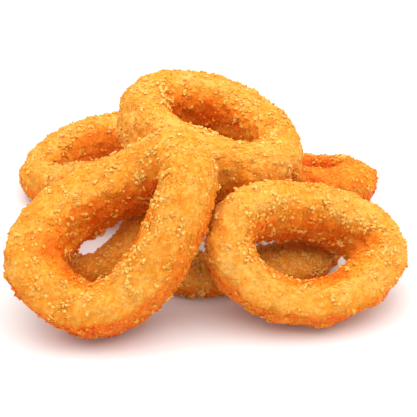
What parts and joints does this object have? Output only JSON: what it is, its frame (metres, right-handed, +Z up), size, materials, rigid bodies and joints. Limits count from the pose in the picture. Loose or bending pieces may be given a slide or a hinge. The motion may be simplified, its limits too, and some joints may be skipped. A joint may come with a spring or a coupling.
{
  "type": "onion rings side",
  "caption": "Heap of thick battered and crumbed onion rings lying across one another, with no dish.",
  "frame": {"origin": "middle of the heap's box, on the floor it rests on", "axes": "+Z up; the heap's front, its side with the two leaning rings, faces -Y; +X to the right seen from the front"},
  "size_m": [0.1378, 0.1404, 0.0633],
  "materials": {
    "crust_front_left": "golden fried breadcrumb crust",
    "crust_back_left": "golden fried breadcrumb crust",
    "crust_top": "golden fried breadcrumb crust",
    "crust_front_right": "golden fried breadcrumb crust",
    "crust_back_right": "golden fried breadcrumb crust",
    "crust_lower_left": "golden fried breadcrumb crust",
    "crust_lower_middle": "golden fried breadcrumb crust"
  },
  "bodies": {
    "root": {"ring_front_left": "crust_front_left", "ring_back_left": "crust_back_left", "ring_top": "crust_top", "ring_front_right": "crust_front_right", "ring_back_right": "crust_back_right", "ring_lower_left": "crust_lower_left", "ring_lower_middle": "crust_lower_middle"}
  },
  "joints": []
}
